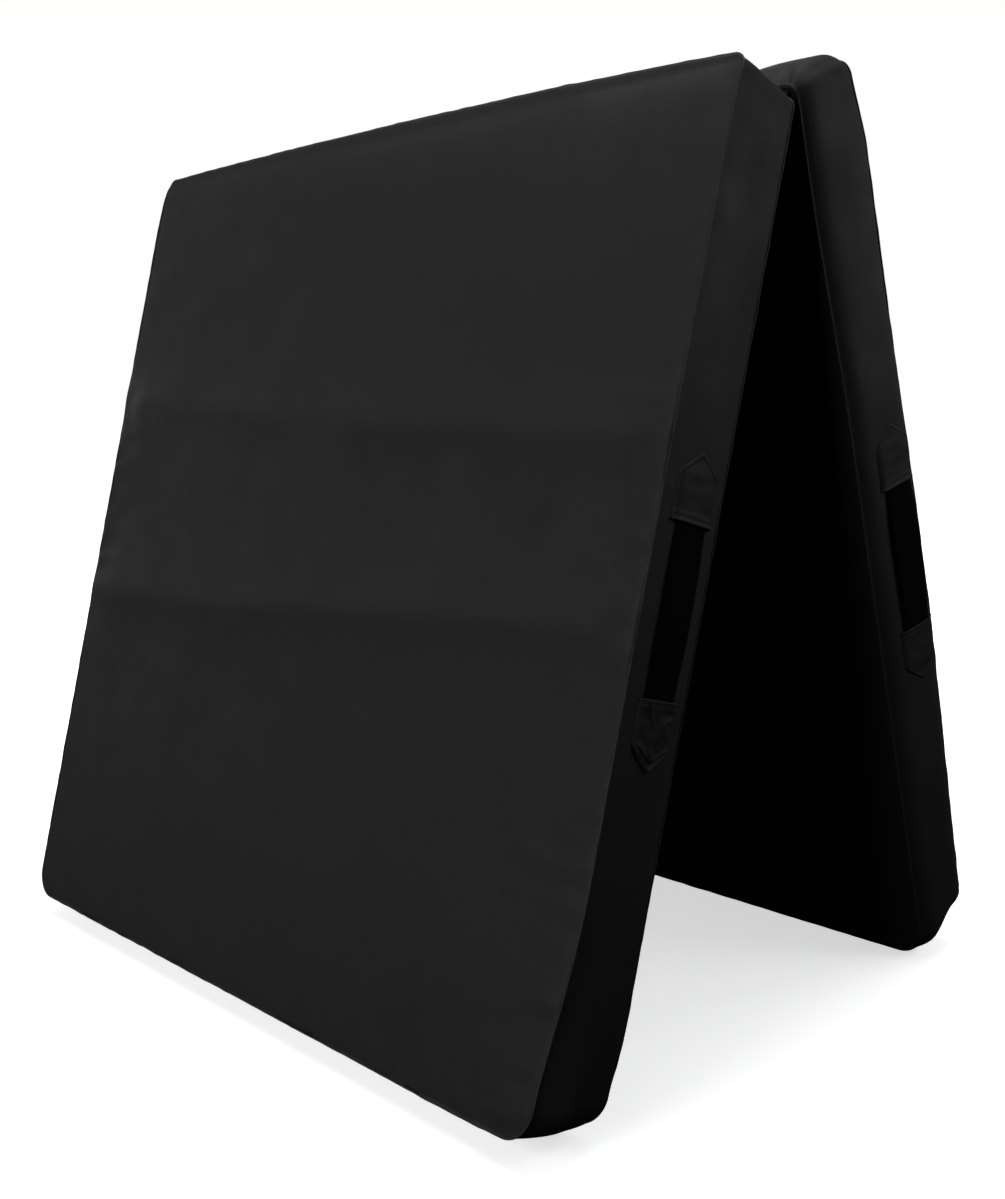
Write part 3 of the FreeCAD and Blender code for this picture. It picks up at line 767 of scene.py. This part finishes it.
def make_patch(panel, side, part):
    """A house-shaped vinyl patch over the strap's end: turned hem, raised welt at its mouth, stitches round it."""
    direction = -1 if part == "upper" else 1
    prefix = f"{panel.name}_{side_name(side)}_{part}"
    mouth = panel.strap_middle + direction * (strap_reach - 1.0 * mm)
    columns, rows = 33, 41
    u, v = (grid.ravel() for grid in np.meshgrid(np.linspace(-1, 1, columns), np.linspace(0, 1, rows)))
    across_share, down_share = house(u, v)
    half = patch_half + (4 * mm if panel is front and part == "upper" else 0)
    across, down = half * across_share, patch_length * down_share
    to_edge = np.minimum(half * (1 - np.abs(u)), patch_length * (1 - v) * 0.8)
    over_strap = smooth(strap_width / 2 + 3.5 * mm - np.abs(across), -2.5 * mm, 2.5 * mm)
    over_strap = over_strap * (1 - smooth(down, 51 * mm, 74 * mm))
    hem_high, groove_deep, crumple_high = (0.9 if panel is front else 0.5) * mm, 0.55 * mm, 0.35 * mm
    hem = hem_high * bump(to_edge, 2.4 * mm, 2.2 * mm) - groove_deep * bump(to_edge, 5.2 * mm, 1.3 * mm)
    lip = 1.9 * mm * np.exp(-(down / (4.5 * mm)) ** 2) + 0.8 * mm * bump(down, 9 * mm, 2.5 * mm)
    crumple = ripple((across, down), 14 * mm, panel.seed + 31 + direction + 3 * side) * smooth(to_edge, 0, 9 * mm)
    lift = 1.0 * mm + strap_thick * 1.15 * over_strap + hem + lip + crumple_high * crumple
    if panel is front and part == "lower":
        across, lift = rumpled(across, down, to_edge, lift)
    sewn_edge = (to_edge < 0.01 * mm) & (down >= 0.01 * mm)
    lift = np.maximum(lift, 0.5 * mm) * np.where(sewn_edge, 0.35, 1.0)
    under = np.where(over_strap > 0.5, strap_thick + 0.75 * mm, -0.3 * mm)
    under = np.minimum(under + lip * (down < 6 * mm), lift - 0.35 * mm)
    s, o = mouth + direction * down, panel.strap_across + across
    points = np.concatenate([placed(panel, *side_points(panel, side, s, o, high)) for high in (lift, under)])
    local = np.concatenate([np.stack([across, s, high], -1) for high in (lift, under)])
    wear = np.concatenate([0.9 * np.exp(-np.minimum(to_edge, down) / (2.2 * mm)), np.zeros(len(u))])
    faces = sheet_faces(columns, rows, side * panel.out * direction > 0)
    piece = make_piece(prefix + "_patch_cover", points, faces, patch_vinyl, local, wear)
    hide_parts(prefix + "_patch")
    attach(piece, panel.body)

    margin, first, shoulder = 5.2 * mm, 7 * mm, patch_length - patch_shoulder - 1.5 * mm
    line = half - margin
    corners = [(-line, first), (-line, shoulder), (0, patch_length - 1.25 * margin),
               (line, shoulder), (line, first), (-line, first)]
    spots = []
    for (x0, y0), (x1, y1) in zip(corners, corners[1:]):
        number = max(1, round(math.hypot(x1 - x0, y1 - y0) / (3.4 * mm)))
        for t in ((k + end) / number for k in range(number) for end in (0.14, 0.86)):
            spots.append((x0 + (x1 - x0) * t, y0 + (y1 - y0) * t))
    high = [lift[np.argmin((across - spot[0]) ** 2 + (down - spot[1]) ** 2)] + 0.12 * mm for spot in spots]
    spot_across, spot_down = np.array(spots).T
    ends = side_points(panel, side, mouth + direction * spot_down, panel.strap_across + spot_across, np.array(high))
    make_stitches(prefix + "_patch_stitches", panel, placed(panel, *ends), (side, 0, 0))


def make_stitches(name, panel, ends, normal, radius=0.38 * mm):
    """Short rounded threads between each two points, bowed off the cloth."""
    points, faces = [], []
    around, rings = 6, 5
    for start, end in np.reshape(ends, (-1, 2, 3)):
        start, end = Vector(start), Vector(end)
        run = (end - start).normalized()
        across = run.cross(Vector(normal)).normalized()
        up = across.cross(run).normalized()
        faces += tube_faces(around, rings, len(points))
        for ring in range(rings):
            t = ring / (rings - 1)
            swell = radius * (0.45 + 0.55 * math.sin(math.pi * t))
            centre = start.lerp(end, t) + up * radius * (1.1 * math.sin(math.pi * t) - 0.35)
            for k in range(around):
                angle = 2 * math.pi * k / around
                points.append(centre + across * swell * math.cos(angle) + up * swell * math.sin(angle))
    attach(make_piece(name, [tuple(point) for point in points], faces, thread), panel.body)


# -------- zip
def make_zip(panel):
    """Interlocking coil teeth over the CAD tapes; the stops, slider and tab keep their CAD shapes."""
    start, end = panel.hang + zip_margin + 3 * mm, panel.hang + length - zip_margin - 3 * mm
    pitch, tooth_half, overlap = 2.4 * mm, 0.62 * mm, 0.75 * mm
    profile = [(0.2, 0.0), (0.55, 0.75), (1.4, 1.05), (2.4, 0.95), (3.0, 0.35)]
    points, faces = [], []
    for row in (-1, 1):
        for k in range(int((end - start) / pitch)):
            s = start + (k + (0.25 if row > 0 else 0.75)) * pitch
            faces += tube_faces(4, len(profile), len(points))
            for across, height in profile:
                for ds, top in ((-1, 0), (-1, 1), (1, 1), (1, 0)):
                    rise = (height * 0.95 - 0.8 * (1 - top) + 0.1) * mm
                    points.append((row * (across * mm - overlap), s + ds * tooth_half * (1 if top else 0.9), rise))
    across, s, rise = np.array(points).T
    points = placed(panel, *side_points(panel, -1, s, zip_across + across, rise))
    piece = make_piece(panel.name + "_zip_teeth", points, faces, coil_nylon)
    piece.data.polygons.foreach_set("use_smooth", [False] * len(piece.data.polygons))
    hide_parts(panel.name + "_zip_coil")
    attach(piece, panel.body)
    for part, material in (("tapes", tape_weave), ("stops", zip_black), ("slider", zip_black), ("pull", zip_black)):
        node = frame["nodes"][f"{panel.name}_zip_{part}"]
        give_place(node, panel)
        node.data.materials.clear()
        node.data.materials.append(material)
    first, last = panel.hang + zip_margin - 3 * mm, panel.hang + length - zip_margin + 3 * mm
    s, o = [], []
    for offset in (-7.6 * mm, 7.6 * mm):
        for low in np.arange(first, last, 3.6 * mm):
            s += [low + 0.4 * mm, low + 3.1 * mm]
            o += [zip_across + offset] * 2
    ends = side_points(panel, -1, np.array(s), np.array(o), 0.1 * mm)
    make_stitches(panel.name + "_zip_stitches", panel, placed(panel, *ends), (-1, 0, 0))


def give_place(node, panel):
    """Stores the tape's own directions on a CAD node's vertices for its weave."""
    mesh = node.data
    points = np.array([vertex.co for vertex in mesh.vertices])
    y, z = points[:, 1] - fold_axis.y, points[:, 2] - fold_axis.z
    sine, cosine = math.sin(panel.lean), math.cos(panel.lean)
    s = panel.out * y * sine - z * cosine
    o = panel.out * y * cosine + z * sine
    place = mesh.attributes.new("place", "FLOAT_VECTOR", "POINT")
    place.data.foreach_set("vector", np.stack([o, s, points[:, 0]], -1).astype(np.float32).ravel())


# -------- hinge strip
def make_hinge_strip():
    """One vinyl strip sewn to both inner faces, hanging slack between them so the mat can open flat."""
    sewn_off, loose_off, thick, wave_high = 1.35 * mm, 1.3 * mm, 0.45 * mm, 0.9 * mm
    sewn_front = [placed(front, 0.0, down, sewn_off)[1:] for down in np.linspace(63, 24, 14) * mm]
    sewn_rear = [placed(rear, 0.0, down, sewn_off)[1:] for down in np.linspace(10, 45, 12) * mm]
    last_front = placed(front, 0.0, 21 * mm, loose_off)[1:]
    first_rear = placed(rear, 0.0, 7 * mm, loose_off)[1:]
    droop = np.array([fold_axis.y - 1.5 * mm, fold_axis.z - 11 * mm])
    loose = [(1 - t) ** 2 * last_front + 2 * t * (1 - t) * droop + t * t * first_rear
             for t in np.linspace(0, 1, 12)]
    path = np.array(sewn_front + loose + sewn_rear)
    middle = len(sewn_front) + len(loose) // 2 - 1
    tangent = np.gradient(path, axis=0)
    tangent /= np.linalg.norm(tangent, axis=1, keepdims=True)
    normal = np.stack([-tangent[:, 1], tangent[:, 0]], -1)
    run = np.concatenate([[0], np.cumsum(np.linalg.norm(np.diff(path, axis=0), axis=1))])
    half = half_width - 18 * mm
    x, k = np.meshgrid(np.linspace(-half, half, 170), np.arange(len(path)))
    wave = wave_high * ripple((x, run[k]), 28 * mm, 61) * bump(run, run[middle], 9 * mm)[k]
    sheets = []
    for side in (-1, 1):
        shift = side * thick / 2 + wave
        sheets.append(np.stack([x, path[k, 0] + normal[k, 0] * shift, path[k, 1] + normal[k, 1] * shift], -1))
    local = np.tile(np.stack([x, run[k], np.zeros_like(x)], -1).reshape(-1, 3), (2, 1))
    piece = make_piece("hinge_strip", np.concatenate(sheets).reshape(-1, 3), sheet_faces(x.shape[1], len(path)),
                       cover_vinyl, local)
    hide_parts("front_hinge_leaf", "rear_hinge_leaf")
    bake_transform(piece)
    for panel, levels in ((front, (26, 58)), (rear, (14, 40))):
        ends = [placed(panel, np.array([low, low + 3.3 * mm]), level * mm, 1.0 * mm)
                for level in levels for low in np.arange(-half + 4 * mm, half - 6 * mm, 4.2 * mm)]
        make_stitches(panel.name + "_hinge_stitches", panel, ends, (0, -panel.out, -0.3), 0.3 * mm)


for panel in (front, rear):
    make_cover(panel)
    for where in ("outer", "inner"):
        make_seam(panel, where)
    make_foam(panel)
    for side in (1, -1):
        for part in ("upper", "lower"):
            make_strap(panel, side, part)
            make_patch(panel, side, part)
    make_zip(panel)
make_hinge_strip()

# -------- floor, light and camera
scene = bpy.context.scene
scene.view_settings.view_transform = "Standard"

# The floor is pale only to the camera, and its glow grows with distance, so it ends in the white world.
floor_look = Shading("studio_floor")
shown, lit_back = (0.86, 0.86, 0.86), (0.02, 0.02, 0.02)
from_middle = floor_look.nodes.new("ShaderNodeVectorMath")
from_middle.operation = "LENGTH"
floor_look.join(floor_look.nodes.new("ShaderNodeTexCoord").outputs["Object"], from_middle.inputs[0])
glow = floor_look.ranged(from_middle.outputs["Value"], 0.9, 3.2, 0.62, 1.05)
floor_look.shader.inputs["Emission Color"].default_value = (1, 1, 1, 1)
floor_look.give(Base_Color=floor_look.mixed(floor_look.seen_directly(), lit_back, shown), Roughness=0.9,
                Emission_Strength=floor_look.math("MULTIPLY", floor_look.seen_directly(), glow),
                Specular_IOR_Level=0.0)
floor_reach = 40
floor_mesh = bpy.data.meshes.new("floor")
corners = [(x * floor_reach, y * floor_reach, 0) for x, y in ((-1, -1), (1, -1), (1, 1), (-1, 1))]
floor_mesh.from_pydata(corners, [], [(0, 1, 2, 3)])
floor_mesh.materials.append(floor_look.owner)
floor = bpy.data.objects.new("floor", floor_mesh)
scene.collection.objects.link(floor)

# The camera sees a white world, but little of its light reaches the black mat.
dim = 0.05
sky = Shading("studio", bpy.data.worlds, "Background")
scene.world = sky.owner
sky.shader.inputs["Color"].default_value = (1, 1, 1, 1)
sky.give(Strength=sky.math("ADD", sky.math("MULTIPLY", sky.seen_directly(), 1 - dim), dim))

# Square soft boxes: name, place, size and power. Each faces the mat's middle.
mat_middle = Vector((0, 0, 0.6))
for name, place, size, power in (
        ("front", (0.0, -4.23, 1.90), 2.4, 117), ("left", (-3.66, -2.11, 1.50), 2.4, 14),
        ("overhead", (-0.95, -0.55, 3.61), 1.6, 36), ("top", (0.40, 1.09, 4.95), 2.4, 100),
        ("right_front", (1.96, 0.35, 1.53), 0.9, 2.2), ("right_rear", (1.80, 1.02, 1.38), 0.9, 9.5),
        ("rear", (1.51, 4.14, 1.54), 2.4, 6), ("rear_left", (-2.40, 4.20, 2.20), 2.4, 60),
        ("left_side", (-4.20, 0.60, 1.60), 2.0, 20)):
    box_data = bpy.data.lights.new(name, "AREA")
    box_data.size, box_data.energy = size, power
    soft_box = bpy.data.objects.new(name, box_data)
    soft_box.location = place
    soft_box.rotation_euler = (mat_middle - Vector(place)).to_track_quat("-Z", "Y").to_euler()
    scene.collection.objects.link(soft_box)

camera_azimuth, camera_elevation, camera_roll = (math.radians(angle) for angle in (46.33, 12.55, -2.32))
back = Vector((math.sin(camera_azimuth) * math.cos(camera_elevation),
               -math.cos(camera_azimuth) * math.cos(camera_elevation), math.sin(camera_elevation)))
right = Vector((math.cos(camera_azimuth), math.sin(camera_azimuth), 0))
up = back.cross(right)
turned = Matrix((right, up, back)).transposed().to_4x4() @ Matrix.Rotation(camera_roll, 4, "Z")
camera_data = bpy.data.cameras.new("camera")
camera_data.lens = 41.96
camera_data.sensor_width = 36
camera_data.shift_x, camera_data.shift_y = -0.0242, 0.0582
camera = bpy.data.objects.new("camera", camera_data)
camera.matrix_world = Matrix.Translation((1.6073, -1.3813, 0.8853)) @ turned
scene.collection.objects.link(camera)
scene.camera = camera
